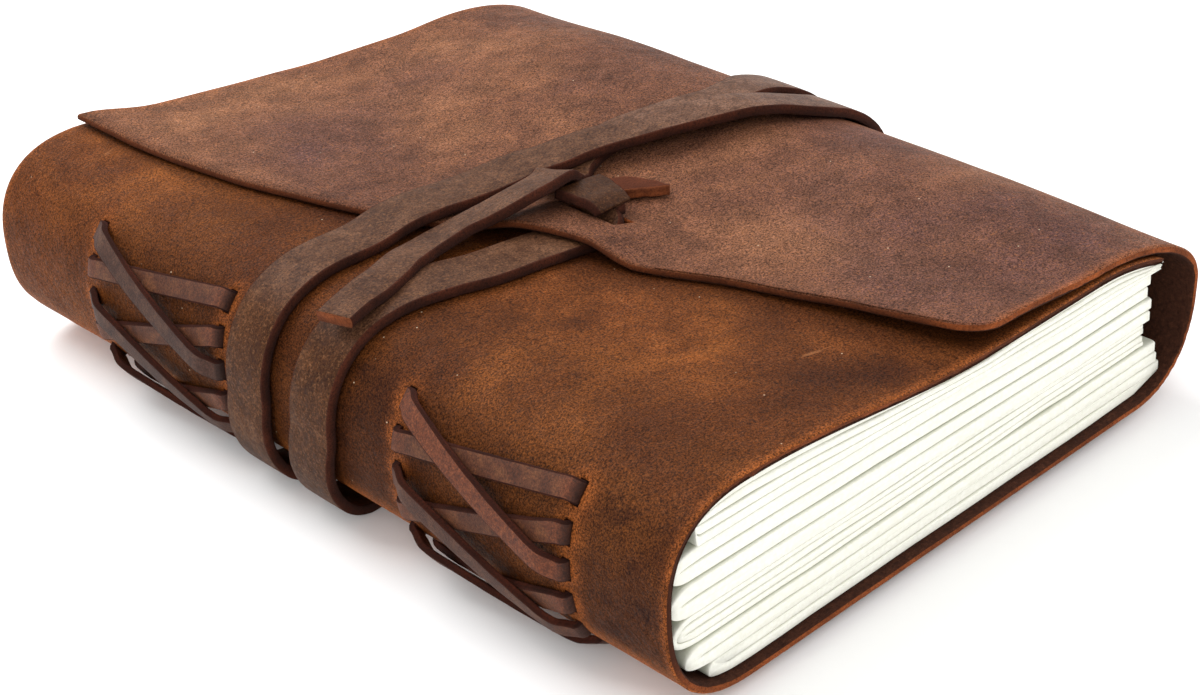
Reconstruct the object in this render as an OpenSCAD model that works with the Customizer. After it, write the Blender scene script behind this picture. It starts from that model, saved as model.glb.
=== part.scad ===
// Leather notebook, closed and bound with its own wrap strap.
// It lies on its back cover: +X runs from the spine to the fore-edge, +Y from the
// tail to the head, +Z up. The origin is the middle of the footprint, on the table.

/* [Cover] */
// Width of the closed cover, from the spine to the fore-edge fold
cover_w = 133; // [120:1:160]
// Height of the cover along the spine
cover_h = 180; // [165:1:220]
// Thickness of the leather
leather_t = 1.5; // [1.2:0.1:1.9]
// Outside thickness of the closed cover at the spine
spine_h = 37; // [33:0.5:42]
// How far the rounded spine reaches into the flat of the covers
spine_depth = 19; // [16:0.5:24]
// Outside height of the front cover at its middle
front_h = 32; // [30:0.5:33]
// Width of the front cover, from the back of the spine to its cut end
front_w = 121.5; // [105:0.5:122]
// Length over which the front cover slopes down from the spine
front_slope = 56; // [40:1:75]
// Drop of the front cover at its cut end
front_drop = 3.2; // [2:0.1:5]
// How far the head edge draws in between the spine and the fore-edge
head_skew = 11.5; // [0:0.5:12]

/* [Flap] */
// Height of the widest point of the fore-edge fold
fold_mid = 20; // [16:0.5:22]
// Depth of the fold above its widest point
fold_top = 32; // [26:0.5:36]
// Depth of the fold below its widest point
fold_low = 17; // [13:0.5:22]
// Space between the front cover and the flap at the fold
flap_gap = 0.9; // [0.6:0.1:1.6]
// How much more the fold swells in its middle than at the tail
fold_swell = 2.8; // [0:0.1:3]
// Radius of the flap's corner at the tail
flap_corner = 6; // [2:0.5:12]
// Lift of the flap's tail corner off the front cover
tail_lift = 2.2; // [0:0.1:4]
// Lift of the flap's head corner off the front cover
head_lift = 0.4; // [0:0.1:3]
// Length over which the flap comes down from the fold onto the front cover
flap_fall = 45; // [35:1:60]
// Distance of the flap's slit for the strap from the back of the spine
knot_d = 58; // [50:0.5:66]
// Distance of that slit's middle from the tail edge
knot_e = 75; // [68:0.5:95]

/* [Pages] */
// Height of the paper
page_h = 164.5; // [155:0.5:166]
// Inset of the paper from the cover's tail edge
page_inset = 1.2; // [1:0.1:4]
// Number of folded signatures
signatures = 6; // [4:1:7]
// How far the front cover's cut end reaches past an even stack of pages
page_short = 0.5; // [0:0.1:6]
// Depth of the rounded folds
fold_round = 5; // [3:0.5:7]

/* [Lacing] */
// Width of the lace
lace_w = 3.8; // [2.5:0.1:4.2]
// Thickness of the lace
lace_t = 1.3; // [0.8:0.1:1.6]
// Distance from the tail edge to the first column of slits
tail_column = 21; // [15:0.5:28]
// Distance between the two columns of one lacing
lace_span = 39.5; // [30:0.5:42]
// Distance from the cover's head edge to the last column of slits
head_column = 32; // [25:0.5:35]
// Angle of the first row of slits above the middle of the spine
row_first = 40; // [36:1:44]
// Angle between rows of slits
row_step = 18.8; // [18:0.2:20]

/* [Strap] */
// Width of the wrap strap
strap_w = 10.4; // [8:0.2:11]
// Thickness of the wrap strap
strap_t = 2; // [1.6:0.1:2.6]
// Length of the pointed end that comes out beside the knot
tail_len = 12; // [9:0.5:14]

/* [Hidden] */
$fn = 48;

leather_brown = [0.36, 0.19, 0.10];
strap_brown = [0.27, 0.18, 0.15];
lace_brown = [0.45, 0.25, 0.14];
paper_white = [0.95, 0.94, 0.90];

// Clearances: between layers of leather, under and over the strap, round a lace, under the book
rest_gap = 0.35;
strap_gap = 0.25;
lace_gap = 0.25;
slit_clear = 0.25;
floor_gap = 0.25;
fold_gap = 0.35;
// Exponents of the rounded outlines: 2 is an ellipse, more is squarer
spine_n = 2.5;
fold_top_n = 2;
fold_low_n = 2.3;

function smooth(t) = let(c = min(1, max(0, t))) c * c * (3 - 2 * c);
function mix(a, b, t) = a + (b - a) * t;
// A value read along a list of [place, value] pairs, rounded off over a length r
function eased(p, list, r) = (lookup(p - r, list) + 2 * lookup(p, list) + lookup(p + r, list)) / 4;
function unit(v) = v / norm(v);
// n places between a and b, without the ends
function between(a, b, n) = [for (i = [1:n]) a + (b - a) * i / (n + 1)];

// A place on the notebook: d from the back of the spine, e from the tail edge, h above the
// underside of the cover, which rests on the strap
function place(d, e, h) = [d - cover_w / 2, e - cover_h / 2, strap_t + floor_gap + h];

// Rounded outlines in the plane across the spine

// Point at angle q of a rounded outline of half width a and half height b, moved out by off,
// with its outward normal
function rounded(q, a, b, n, off) =
    let(r = pow(pow(abs(cos(q)) / a, n) + pow(abs(sin(q)) / b, n), -1 / n),
        x = r * cos(q), z = r * sin(q),
        g = unit([pow(abs(x) / a, n - 1) / a, sign(z) * pow(abs(z) / b, n - 1) / b]))
    [x + g[0] * off, z + g[1] * off, g[0], g[1]];

// Spine, from 90 at the front cover to -90 at the back cover: [d, h, normal d, normal h]
function spine_at(q, off) =
    let(p = rounded(q, spine_depth, spine_h / 2, spine_n, off))
    [spine_depth - p[0], spine_h / 2 + p[1], -p[2], p[3]];

// Height of the flap over the fold, which swells away from the tail and sinks again at the head
function fold_h(e) = let(s = e / cover_h)
    front_h + leather_t + flap_gap
    + fold_swell * (0.7 * smooth(s / 0.22) + 0.3 * smooth((s - 0.4) / 0.15)
        - 0.8 * smooth((s - 0.72) / 0.28));

// Fore-edge fold, from -90 at the back cover to 90 at the flap
function fold_at(t, off, e) =
    let(up = t >= 0,
        a = up ? fold_top : fold_low,
        b = up ? fold_h(e) - fold_mid : fold_mid,
        n = up ? fold_top_n : fold_low_n,
        q = atan2(sign(t) * b * pow(abs(sin(t)), 2 / n), a * pow(cos(t), 2 / n)),
        p = rounded(q, a, b, n, off))
    [cover_w - a + p[0], fold_mid + p[1], p[2], p[3]];

// Outside height of the front cover at d, which bends down along its last stretch
front_bend = 18;
function front_at(d) =
    spine_h - (spine_h - front_h) * smooth((d - spine_depth) / front_slope)
    - front_drop * pow(max(0, min(1, (d - front_w + front_bend) / front_bend)), 2);

// Flap

// The flap's cut free edge: [share of the cover's height, share of its width]
free_edge = [[0, 0.545], [0.06, 0.522], [0.14, 0.5], [0.25, 0.453], [0.3, 0.412], [0.33, 0.39], [0.4, 0.377],
    [0.44, 0.358], [0.54, 0.277], [0.61, 0.236], [0.73, 0.186], [0.83, 0.165], [0.9, 0.156], [1, 0.154]];
function free_at(e) =
    let(c = flap_corner - min(flap_corner, e))
    cover_w * eased(e / cover_h, free_edge, 0.02) + flap_corner - sqrt(flap_corner * flap_corner - c * c);

// The slit in the flap that the strap comes up through
slit_half = strap_w / 2 + 0.5;
slit_open = strap_t + 3;

// How far the strap under the flap pushes it up, 0 to 1, with the bump's slopes beside and beyond it
bump_side = 11;
bump_end = 10;
function strap_under(d, e) =
    (1 - smooth((abs(e - knot_e) - slit_half) / bump_side)) * (1 - smooth((d - knot_d) / bump_end));
// Lift of the flap's corners, which dies out over these lengths
tail_lift_w = 26;
tail_lift_h = 42;
head_lift_w = 22;
head_lift_h = 30;
function corner_lift(d, e) =
    let(in = d - free_at(e))
    tail_lift * (1 - smooth(in / tail_lift_w)) * (1 - smooth(e / tail_lift_h))
    + head_lift * (1 - smooth(in / head_lift_w)) * smooth((e - cover_h + head_lift_h) / head_lift_h);

// Outside height of the flap where it lies over the front cover
fold_start = cover_w - fold_top;
function flap_at(d, e) =
    d > fold_start ? let(x = (d - fold_start) / fold_top)
        fold_mid + (fold_h(e) - fold_mid) * sqrt(max(0, 1 - x * x)) :
    front_at(d) + leather_t
    + mix(rest_gap, fold_h(e) - leather_t - front_at(fold_start), smooth((d - fold_start) / flap_fall + 1))
    + (strap_t + rest_gap) * strap_under(d, e) + corner_lift(d, e);

// Leather cover: one hide, swept as a grid from the front cover's cut end, round the spine,
// along the back, up the fore-edge and over as the flap

rows = [for (k = [0:signatures - 1]) row_first - k * row_step];
slit_angle = (lace_w / 2 + slit_clear) / (spine_h / 2 + 1.5) * 180 / PI;
slit_width = lace_t + 2 * slit_clear;
columns = [tail_column, tail_column + lace_span, cover_h - head_column - lace_span, cover_h - head_column];

// Lines across the spine, at the slits' ends
spine_lines = concat([90, 74, 60], [for (q = rows) each [q + slit_angle, q - slit_angle]], [-74, -90]);
fold_lines = [-90, -78, -65, -51, -37, -23, -8, 8, 22, 36, 50, 63, 77, 90];
front_flat = front_w - front_bend;
front_lines = concat([front_w], between(front_w, front_flat, 2), [front_flat],
    between(front_flat, spine_depth, 6));
back_lines = between(spine_depth, cover_w - fold_low, 3);
flap_outer = 6;
flap_inner = 3;

// Lines along the spine, in distance from the tail edge, at the slits' sides
function slit_sides(c) = [c - slit_width / 2, c + slit_width / 2];
e_lines = concat(
    [0, flap_corner * 0.12, flap_corner * 0.4, flap_corner],
    between(flap_corner, columns[0] - slit_width / 2, 1), slit_sides(columns[0]),
    between(columns[0] + slit_width / 2, columns[1] - slit_width / 2, 6), slit_sides(columns[1]),
    between(columns[1] + slit_width / 2, knot_e - slit_half, 1),
    [knot_e - slit_half], between(knot_e - slit_half, knot_e + slit_half, 2), [knot_e + slit_half],
    between(knot_e + slit_half, columns[2] - slit_width / 2, 4), slit_sides(columns[2]),
    between(columns[2] + slit_width / 2, columns[3] - slit_width / 2, 3), slit_sides(columns[3]),
    between(columns[3] + slit_width / 2, cover_h, 4), [cover_h]);

// Distance from the tail edge at d and h, once the head edge's skew is counted. The hide is cut by
// hand: over the front its head edge draws in unevenly, by [share of the way to the fore-edge, share
// of the skew], and over the back evenly.
head_draw = [[0.03, 0], [0.11, 0.5], [0.38, 0.47], [0.64, 1]];
function skewed(d, e, h) =
    let(s = (d - spine_depth) / (cover_w - spine_depth),
        draw = h < spine_h / 2 ? sin(90 * max(0, min(1, s / 0.62))) : eased(s, head_draw, 0.026))
    e - head_skew * draw * smooth((e / cover_h - 0.7) / 0.3);

// One line of the flap, from the fold to its free edge, through both sides of the strap's slit
function flap_line(e) =
    let(f = free_at(e), a = max(knot_d, f + 3), b = max(knot_d + slit_open, f + 7))
    concat(between(fold_start, b, flap_outer), [b, a], between(a, f, flap_inner), [f]);

// The section at one line: a list of [d, h, normal d, normal h]
function section(e) = concat(
    [for (d = front_lines) [d, front_at(d), 0, 1]],
    [for (q = spine_lines) spine_at(q, 0)],
    [for (d = back_lines) [d, 0, 0, -1]],
    [for (q = fold_lines) fold_at(q, 0, e)],
    [for (d = flap_line(e)) [d, flap_at(d, e), 0, 1]]);

sections = [for (e = e_lines) section(e)];
nu = len(sections[0]);
nv = len(e_lines);
spine_first = len(front_lines);
flap_slit = nu - 3 - flap_inner;
slit_columns = [for (c = columns) search(c - slit_width / 2, e_lines)[0]];
knot_columns = search(knot_e - slit_half, e_lines)[0];
function in_slit(i, j) =
    let(k = i - spine_first - 3)
    (k >= 0 && k < 2 * signatures && k % 2 == 0 && len([for (c = slit_columns) if (c == j) c]) > 0)
    || (i == flap_slit && j >= knot_columns && j < knot_columns + 3);
function solid_cell(i, j) = i >= 0 && j >= 0 && i < nu - 1 && j < nv - 1 && !in_slit(i, j);

function sheet_points(depth) = [for (i = [0:nu - 1]) for (j = [0:nv - 1])
    let(s = sections[j][i])
    place(s[0] - s[2] * depth, skewed(s[0], e_lines[j], s[1]), s[1] - s[3] * depth)];
function wall(a, b, m) = [[b, a, a + m], [b, a + m, b + m]];
function cell_faces(i, j) =
    let(m = nu * nv, a = i * nv + j, b = a + nv, c = b + 1, d = a + 1)
    concat([[a, b, c], [a, c, d], [a + m, c + m, b + m], [a + m, d + m, c + m]],
        solid_cell(i, j - 1) ? [] : wall(a, b, m),
        solid_cell(i + 1, j) ? [] : wall(b, c, m),
        solid_cell(i, j + 1) ? [] : wall(c, d, m),
        solid_cell(i - 1, j) ? [] : wall(d, a, m));

module leather_cover() {
    color(leather_brown)
    polyhedron(points = concat(sheet_points(0), sheet_points(leather_t)),
        faces = [for (i = [0:nu - 2]) for (j = [0:nv - 2]) if (solid_cell(i, j)) each cell_faces(i, j)]);
}

// Pages: signatures stacked between the covers, one solid

// Clearance between the paper and the leather round it
page_clear = 0.4;
page_low = leather_t + 0.05;
fore_flat = front_w - 11.5;
// Uneven fore-edges, tails and heads of the signatures
fore_steps = [2.2, -0.8, 0, -1.4, 2, 3.8, 1.6];
tail_steps = [0, 0.5, 0.2, 0.6, 0.1, 0.4, 0.3];
function page_right(k) = front_w - page_short + fore_steps[k];
fore_corner = 1.2;

// Heights of the joins between signatures, and where they part towards the spine
function page_top(d) = front_at(d) - leather_t - page_clear - 0.2 * max(0, d - front_w);
function join_angle(k) = row_first + row_step / 2 - k * row_step;
function join_spine(k) =
    spine_h / 2 + rounded(join_angle(k), spine_depth, spine_h / 2, spine_n, -leather_t - page_clear)[1];
function join_fore(k) = mix(page_top(fore_flat), page_low, k / signatures);
function join_at(k, d) =
    k <= 0 ? page_top(max(d, spine_depth)) + 1 : k >= signatures ? page_low - 1 :
    mix(join_spine(k), join_fore(k), smooth((d - spine_depth * 0.63) / (fore_flat - spine_depth * 0.63)));
// The leather's inner face at height h: distance from the back of the spine
function inner_at(h) =
    let(a = spine_depth - leather_t - page_clear, b = spine_h / 2 - leather_t - page_clear,
        t = min(0.999, abs(h - spine_h / 2) / b))
    spine_depth - a * pow(1 - pow(t, spine_n), 1 / spine_n);
function part_at(k) =
    k <= 0 || k >= signatures ? spine_depth : inner_at(join_spine(k)) + fold_round;
join_stops = [for (s = [0.055, 0.12, 0.21, 0.32, 0.45, 0.62, 0.8, 1]) mix(spine_depth, fore_flat, s)];

// The outline of signature k, seen from the tail: its rounded fold, then its cut fore-edge
function signature_outline(k) =
    let(upper = part_at(k), lower = part_at(k + 1),
        high = join_at(k, upper), low = join_at(k + 1, lower),
        mid = (high + low) / 2,
        tip = inner_at(mid) + 0.3,
        right = page_right(k),
        top_end = join_at(k, right) - fore_corner,
        low_end = join_at(k + 1, right) + fore_corner)
    concat(
        [for (q = [90:15:165]) [upper + (upper - tip) * cos(q), mid + (high - mid) * sin(q)]],
        [for (q = [180:15:270]) [lower + (lower - tip) * cos(q), mid + (mid - low) * sin(q)]],
        [for (d = join_stops) if (d > lower) [d, join_at(k + 1, d)]],
        [[right - fore_corner, low_end - fore_corner], [right, low_end],
         [right, top_end], [right - fore_corner, top_end + fore_corner]],
        [for (i = [len(join_stops) - 1:-1:0]) let(d = join_stops[i]) if (d > upper) [d, join_at(k, d)]]);

// A flat outline seen from the tail, drawn out from one distance to another
module along(from, to) {
    translate(place(0, to, 0))
        rotate([90, 0, 0])
            linear_extrude(height = to - from)
                children();
}

// The room between the covers
module inside_outline() {
    off = -leather_t - page_clear;
    polygon(concat(
        [for (q = [90:-6:-84]) let(p = spine_at(q, off)) [p[0], p[1]]],
        [[spine_depth, page_low], [cover_w - fold_low, page_low]],
        [for (q = [-80:8:24]) let(p = fold_at(q, off, 0)) [p[0], max(page_low, p[1])]],
        [for (d = front_lines) [d, page_top(d)]]));
}

// Room for the laces' runs inside the spine, between two columns
module lace_room_outline() {
    reach = leather_t + lace_t + 3 * lace_gap;
    high = rows[0] + 12;
    low = rows[signatures - 1] - 12;
    polygon(concat(
        [for (q = [high:-(high - low) / 18:low]) let(p = spine_at(q, -reach)) [p[0], p[1]]],
        [for (q = [low, -30, 30, high]) let(p = spine_at(q, 12)) [p[0], p[1]]]));
}

module page_block() {
    color(paper_white)
    difference() {
        intersection() {
            union()
                for (k = [0:signatures - 1])
                    along(page_inset + tail_steps[k], page_inset + page_h - tail_steps[k])
                        polygon(signature_outline(k));
            along(0, cover_h)
                inside_outline();
        }
        for (c = [0, 2])
            along(columns[c] - slit_width / 2 - 1.5, columns[c + 1] + slit_width / 2 + 1.5)
                lace_room_outline();
    }
}

// Bands: a flat strip swept along rings, each [middle, direction across, half width, half thickness]

function ring(a, p, b) =
    let(t = unit(b - a), w = unit(p[1] - t * (p[1] * t)), o = cross(w, t))
    [p[0] + w * p[2] + o * p[3], p[0] - w * p[2] + o * p[3],
     p[0] - w * p[2] - o * p[3], p[0] + w * p[2] - o * p[3]];
function side_faces(a, b) = [for (s = [0:3]) let(n = (s + 1) % 4)
    each [[a + s, b + n, b + s], [a + s, a + n, b + n]]];

// A strip with two cut ends
module band(path) {
    n = len(path);
    polyhedron(
        points = [for (i = [0:n - 1]) each ring(path[max(0, i - 1)][0], path[i], path[min(n - 1, i + 1)][0])],
        faces = concat([for (i = [0:n - 2]) each side_faces(i * 4, i * 4 + 4)],
            [[0, 2, 1], [0, 3, 2]],
            [let(b = n * 4 - 4) each [[b, b + 1, b + 2], [b, b + 2, b + 3]]]));
}

// A strip whose ends are joined
module loop(path) {
    n = len(path);
    polyhedron(
        points = [for (i = [0:n - 1]) each ring(path[(i + n - 1) % n][0], path[i], path[(i + 1) % n][0])],
        faces = [for (i = [0:n - 1]) each side_faces(i * 4, ((i + 1) % n) * 4)]);
}

// Laces: one closed loop through twelve slits, out through one column and in through the other

// Runs on the outside: [row at the head-side column, row at the tail-side column, on top or beneath]
lace_runs = [[0, 2, 1], [2, 4, 1], [4, 5, 1], [5, 3, 0], [3, 1, 0], [1, 0, 0]];
bend_r = 0.9;
outside_h = lace_gap + lace_t / 2;
inside_h = -leather_t - lace_gap - lace_t / 2;
bend_steps = [0, 30, 60, 90];

// A lace ring at angle q of the spine, height h over the leather and distance e from the tail
function lace_ring(q, h, e) =
    let(p = spine_at(q, h)) [place(p[0], e, p[1]), [p[3], 0, -p[2]], lace_w / 2, lace_t / 2];
// Part of a bend round a slit's side: from lies at the slit, side is the way it turns, dir in or out
function lace_bend(q, h, dir, from, side, a) =
    lace_ring(q, h - dir * bend_r * (1 - sin(a)), from + side * bend_r * (1 - cos(a)));
function outside_run(run, tail, head) =
    let(q = rows[run[0]], r = rows[run[1]], len = head - tail - 2 * bend_r)
    concat(
        [for (a = bend_steps) lace_bend(q, outside_h, 1, head, -1, a)],
        [for (s = [0.07, 0.12, 0.22, 0.36, 0.5, 0.64, 0.78, 0.88, 0.93])
            lace_ring(mix(q, r, s),
                outside_h + run[2] * (lace_t + 0.2) * smooth((min(s, 1 - s) * len - 0.4) / 3),
                head - bend_r - s * len)],
        [for (i = [3:-1:0]) lace_bend(r, outside_h, 1, tail, 1, bend_steps[i])]);
function inside_run(row, tail, head) =
    let(q = rows[row])
    concat(
        [for (a = bend_steps) lace_bend(q, inside_h, -1, tail, 1, a)],
        [for (i = [3:-1:0]) lace_bend(q, inside_h, -1, head, -1, bend_steps[i])]);

module lacing(tail, head) {
    color(lace_brown)
    loop([for (run = lace_runs) each concat(outside_run(run, tail, head), inside_run(run[1], tail, head))]);
}
module lace_tail() {
    lacing(columns[0], columns[1]);
}
module lace_head() {
    lacing(columns[2], columns[3]);
}

// Strap: fixed to the flap at its middle, two and a half turns round the book, then its free end

// Leather under the strap: the height at one place, and the highest across the strap's width
function leather_top(d, e) =
    d < spine_depth ?
        spine_h / 2 * (1 + pow(1 - pow(min(1, (spine_depth - d) / spine_depth), spine_n), 1 / spine_n)) :
    d < free_at(e) ? front_at(d) : flap_at(d, e);
function under(d, e) =
    let(reach = d > cover_w * 0.6 ? 0 : 2.5)
    max([for (a = [-reach, 0, reach]) for (b = [-1, -0.5, 0, 0.5, 1])
        leather_top(d + a, e + b * strap_w / 2)]);

half_t = strap_t / 2;
layer = strap_t + strap_gap;
// A strap ring: lean lowers its head side where negative
function strap_ring(d, e, h, wide = strap_w / 2, lean = 0) = [place(d, e, h), [0, 1, lean], wide, half_t];

// The strap's route is chosen by hand. Its places across the book are shares of the cover's width, its
// places along the spine are counted in strap widths from the knot, and so are its half widths.
function strap_d(share) = cover_w * share;
function strap_e(widths) = knot_e + strap_w * widths;

// Rings over the top, from [place across, place along, layers beneath, half width]
function over_top(list) = [for (s = list) let(d = strap_d(s[0]), e = strap_e(s[1]))
    strap_ring(d, e, under(d, e) + strap_gap + half_t + s[2] * layer, strap_w * s[3])];
// The strap keeps off the table under the book and round its corners
function off_table(h) = max(h, 0.16 - floor_gap - half_t);
// Down round the spine, drifting along it by a list of [angle, place along]: it hangs off it lower down
spine_gaps = [[-90, floor_gap], [-72, 2], [-50, 2.2], [-20, 1.2], [0, 0.6], [90, strap_gap]];
function round_spine(drift) = [for (q = [84:-12:-84]) let(p = spine_at(q, half_t + lookup(q, spine_gaps)))
    strap_ring(p[0], strap_e(lookup(q, drift)), off_table(p[1]))];
// Under the book, from the spine to the fore-edge: [share of the way, lift off the table]
function under_book(from, to) = [for (s = [[0.02, 0.1], [0.3, 0.02], [0.6, 0.02], [0.98, 0.1]])
    strap_ring(mix(spine_depth, cover_w - fold_low, s[0]), strap_e(mix(from, to, s[0])),
        s[1] - floor_gap - half_t)];
// Up round the fore-edge
function round_fold(drift) = [for (q = [-78, -64, -50, -36, -22, -8, 6, 19, 32, 44])
    let(e = strap_e(lookup(q, drift)), p = fold_at(q, half_t + fold_gap, e))
    strap_ring(p[0], e, off_table(p[1]))];

// Where the strap climbs through the flap's slit
climb_angle = 38;
climb_r = strap_t * 0.9;
climb_mid = knot_d + slit_open / 2;
climb_low = front_at(knot_d) + strap_gap + half_t;
climb_high = flap_at(knot_d + slit_open, knot_e) + strap_gap + half_t;
climb_run = (climb_high - climb_low - 2 * climb_r * (1 - cos(climb_angle))) / tan(climb_angle)
    + 2 * climb_r * sin(climb_angle);
climb_steps = [0, 0.35, 0.7, 1] * climb_angle;
climb_end = climb_mid + climb_run / 2;
// The strap narrows to a neck as it comes up
neck = strap_w * 0.37;
neck_e = knot_e + strap_w * 0.12;
function climb() = concat(
    [strap_ring(climb_end + half_t, neck_e, climb_high, neck)],
    [for (a = climb_steps)
        strap_ring(climb_end - climb_r * sin(a), neck_e, climb_high - climb_r * (1 - cos(a)), neck)],
    [for (i = [3:-1:0]) let(a = climb_steps[i])
        strap_ring(climb_mid - climb_run / 2 + climb_r * sin(a), knot_e,
            climb_low + climb_r * (1 - cos(a)))]);

// Under the flap and out over the front cover: [place across, place along]
function under_flap() = [for (s = [[0.375, -0.03], [0.315, -0.04], [0.24, -0.03], [0.19, 0.12]])
    let(d = strap_d(s[0])) strap_ring(d, strap_e(s[1]), front_at(d) + strap_gap + half_t)];

// Second turn, laid over the third where they cross
turn_b = [[0.9, 0.32, 0, 0.48], [0.86, 0.38, 0.15, 0.46], [0.82, 0.49, 0.5, 0.42], [0.77, 0.64, 0.92, 0.405],
    [0.715, 0.91, 1, 0.405], [0.66, 1.25, 1, 0.405], [0.61, 1.55, 1, 0.405], [0.555, 1.83, 1, 0.42],
    [0.505, 1.99, 1, 0.45], [0.465, 2.12, 0.9, 0.48], [0.43, 2.2, 0.5, 0.5], [0.39, 2.25, 0.15, 0.5],
    [0.345, 2.26, 0, 0.5], [0.3, 2.26, 0, 0.5], [0.25, 2.25, 0, 0.5], [0.195, 2.23, 0, 0.5]];
turn_a = [[0.88, 1.57, 0, 0.47], [0.835, 1.44, 0, 0.43], [0.78, 1.38, 0, 0.405], [0.735, 1.53, 0, 0.405],
    [0.69, 1.7, 0, 0.405], [0.63, 1.92, 0, 0.405], [0.57, 1.9, 0, 0.405], [0.535, 1.76, 0.06, 0.405],
    [0.51, 1.59, 0.08, 0.405]];
// Free end, over the knot's head side and up off the cover: [place across, place along,
// height over the spine in strap thicknesses, half width, lean]
free_end = [[0.49, 1.41, 0.15, 0.405, -0.15], [0.466, 1.19, 1.2, 0.405, -0.25], [0.447, 1.03, 2, 0.41, -0.28],
    [0.415, 0.95, 2.1, 0.41, -0.28], [0.375, 0.89, 2.15, 0.41, -0.28], [0.33, 0.97, 1.65, 0.41, -0.28],
    [0.29, 1.12, 1.05, 0.39, -0.28], [0.23, 1.07, 0.93, 0.37, -0.2], [0.175, 0.88, 1.25, 0.365, -0.12],
    [0.14, 0.68, 1.4, 0.36, -0.05], [0.1, 0.51, 1.5, 0.37, 0], [0.062, 0.39, 1.45, 0.345, 0],
    [0.026, 0.26, 1.25, 0.34, 0]];

strap_path = concat(
    climb(), under_flap(),
    round_spine([[-90, 1.12], [-60, 1.02], [-28, 0.81], [0, 0.57], [30, 0.49], [60, 0.39], [90, 0.26]]),
    under_book(1.12, 0.3),
    round_fold([[-90, 0.3], [0, 0.28], [50, 0.33]]),
    over_top(turn_b),
    round_spine([[-90, 2.6], [-60, 2.54], [-28, 2.43], [0, 2.28], [30, 2.23], [90, 2.23]]),
    under_book(2.6, 1.88),
    round_fold([[-90, 1.88], [0, 1.65], [50, 1.57]]),
    over_top(turn_a),
    [for (s = free_end)
        strap_ring(strap_d(s[0]), strap_e(s[1]), spine_h + strap_t * s[2], strap_w * s[3], s[4])]);

// The pointed end beside the knot: [across and along from the knot in its own length, half width]
pointed = [[0.24, 0.42, 0.23], [0.41, 0.56, 0.25], [0.59, 0.59, 0.26], [0.77, 0.51, 0.26], [0.93, 0.32, 0.24],
    [1.09, 0.07, 0.16], [1.23, -0.17, 0.04]];
function pointed_path() = [for (s = pointed)
    let(d = climb_mid + tail_len * s[0], e = knot_e + tail_len * s[1], r = strap_w * s[2],
        h = max([for (a = [-r, 0, r]) for (b = [-r, 0, r]) flap_at(d + a, e + b)]))
    strap_ring(d, e, h + strap_gap + half_t, r)];

// The tongue that locks the knot: it lies across the strap's end and is tucked down at one side.
// [across and along from the knot, half width, in strap widths; drop in half thicknesses]
tongue_d = climb_mid + strap_w * 0.12;
tongue_h = climb_high + strap_t - 0.1;
tongue = [[0.03, 0.73, 0.54, 0], [0.03, 0.55, 0.53, 0], [0, 0.25, 0.47, 0], [-0.02, 0.01, 0.42, 0],
    [-0.03, -0.1, 0.4, -0.3], [-0.03, -0.16, 0.395, -0.65], [-0.03, -0.19, 0.395, -1]];
function tongue_path() = [for (s = tongue)
    [place(tongue_d + strap_w * s[0], strap_e(s[1]), tongue_h + half_t * s[3]), [1, 0, -0.12],
     strap_w * s[2], half_t]];

module wrap_strap() {
    color(strap_brown)
    union() {
        band(strap_path);
        band(pointed_path());
        band(tongue_path());
    }
}

leather_cover();
page_block();
lace_head();
lace_tail();
wrap_strap();
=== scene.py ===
import math

import bpy
import numpy as np
from mathutils import Matrix, Vector, noise


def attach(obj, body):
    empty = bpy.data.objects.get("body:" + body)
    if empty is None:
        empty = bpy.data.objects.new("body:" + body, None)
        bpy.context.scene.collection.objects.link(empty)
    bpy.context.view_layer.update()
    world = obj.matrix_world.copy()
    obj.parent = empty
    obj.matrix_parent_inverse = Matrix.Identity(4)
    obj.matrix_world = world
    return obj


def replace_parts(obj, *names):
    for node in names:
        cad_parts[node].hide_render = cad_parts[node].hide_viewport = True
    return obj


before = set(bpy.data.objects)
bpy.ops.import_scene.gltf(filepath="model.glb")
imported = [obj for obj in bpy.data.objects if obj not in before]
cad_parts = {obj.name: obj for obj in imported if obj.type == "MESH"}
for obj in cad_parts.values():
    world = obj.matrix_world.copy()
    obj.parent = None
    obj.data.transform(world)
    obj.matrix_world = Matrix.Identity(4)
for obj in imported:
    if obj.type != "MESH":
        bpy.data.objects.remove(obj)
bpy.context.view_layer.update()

MM = 0.001
SIGNATURES = 6

# The closed notebook's shape, in millimetres: d from the back of the spine, e from the tail edge,
# h above the underside of the cover. The same outlines shape the solids of the part.
COVER_W, COVER_H = 133.0, 180.0
LEATHER_T = 1.5
SPINE_H, SPINE_DEPTH, SPINE_N = 37.0, 19.0, 2.5
FRONT_H, FRONT_W, FRONT_SLOPE, FRONT_DROP, FRONT_BEND = 32.0, 121.5, 56.0, 3.2, 18.0
FOLD_MID, FOLD_TOP, FOLD_LOW, FLAP_FALL = 20.0, 32.0, 17.0, 45.0
FOLD_TOP_N, FOLD_LOW_N = 2.0, 2.3
FOLD_START = COVER_W - FOLD_TOP
STRAP_W, STRAP_T = 10.4, 2.0
LACE_W, LACE_T = 3.8, 1.3
STRAP_GAP, REST_GAP, FLOOR_GAP, FOLD_GAP, LACE_GAP = 0.25, 0.35, 0.25, 0.35, 0.25
KNOT_D, KNOT_E = 58.0, 75.0
SLIT_HALF, SLIT_OPEN = STRAP_W / 2 + 0.5, STRAP_T + 3
ROWS = [40 - 18.8 * k for k in range(SIGNATURES)]
COLUMNS = [21.0, 60.5, COVER_H - 71.5, COVER_H - 32]
SLIT_ANGLE = math.degrees((LACE_W / 2 + 0.25) / (SPINE_H / 2 + 1.5))
SLIT_WIDTH = LACE_T + 0.5


def smooth(t):
    c = min(1.0, max(0.0, t))
    return c * c * (3 - 2 * c)


def mix(a, b, t):
    return a + (b - a) * t


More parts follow.
